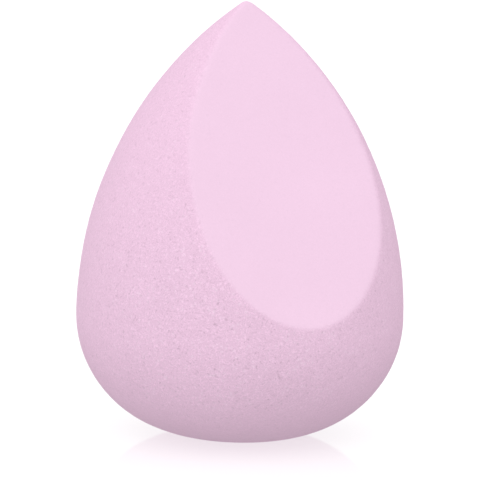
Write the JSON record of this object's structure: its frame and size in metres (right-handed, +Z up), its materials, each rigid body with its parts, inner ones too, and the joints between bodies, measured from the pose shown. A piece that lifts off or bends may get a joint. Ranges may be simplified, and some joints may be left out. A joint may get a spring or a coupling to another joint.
{
  "type": "makeup sponge",
  "caption": "Teardrop foam makeup sponge with a pointed tip, a rounded belly that stands on a small flat, and one slanted flat facet for pressing make-up onto skin.",
  "frame": {"origin": "middle of the small flat foot that the sponge stands on", "axes": "+Z up through the teardrop's axis, -Y the side that the slanted facet faces, +X across the facet; the part is mirror-symmetric about X = 0"},
  "size_m": [0.045, 0.045, 0.06],
  "materials": {
    "foam": "matte"
  },
  "bodies": {
    "root": {"foam_body": "foam"}
  },
  "joints": []
}
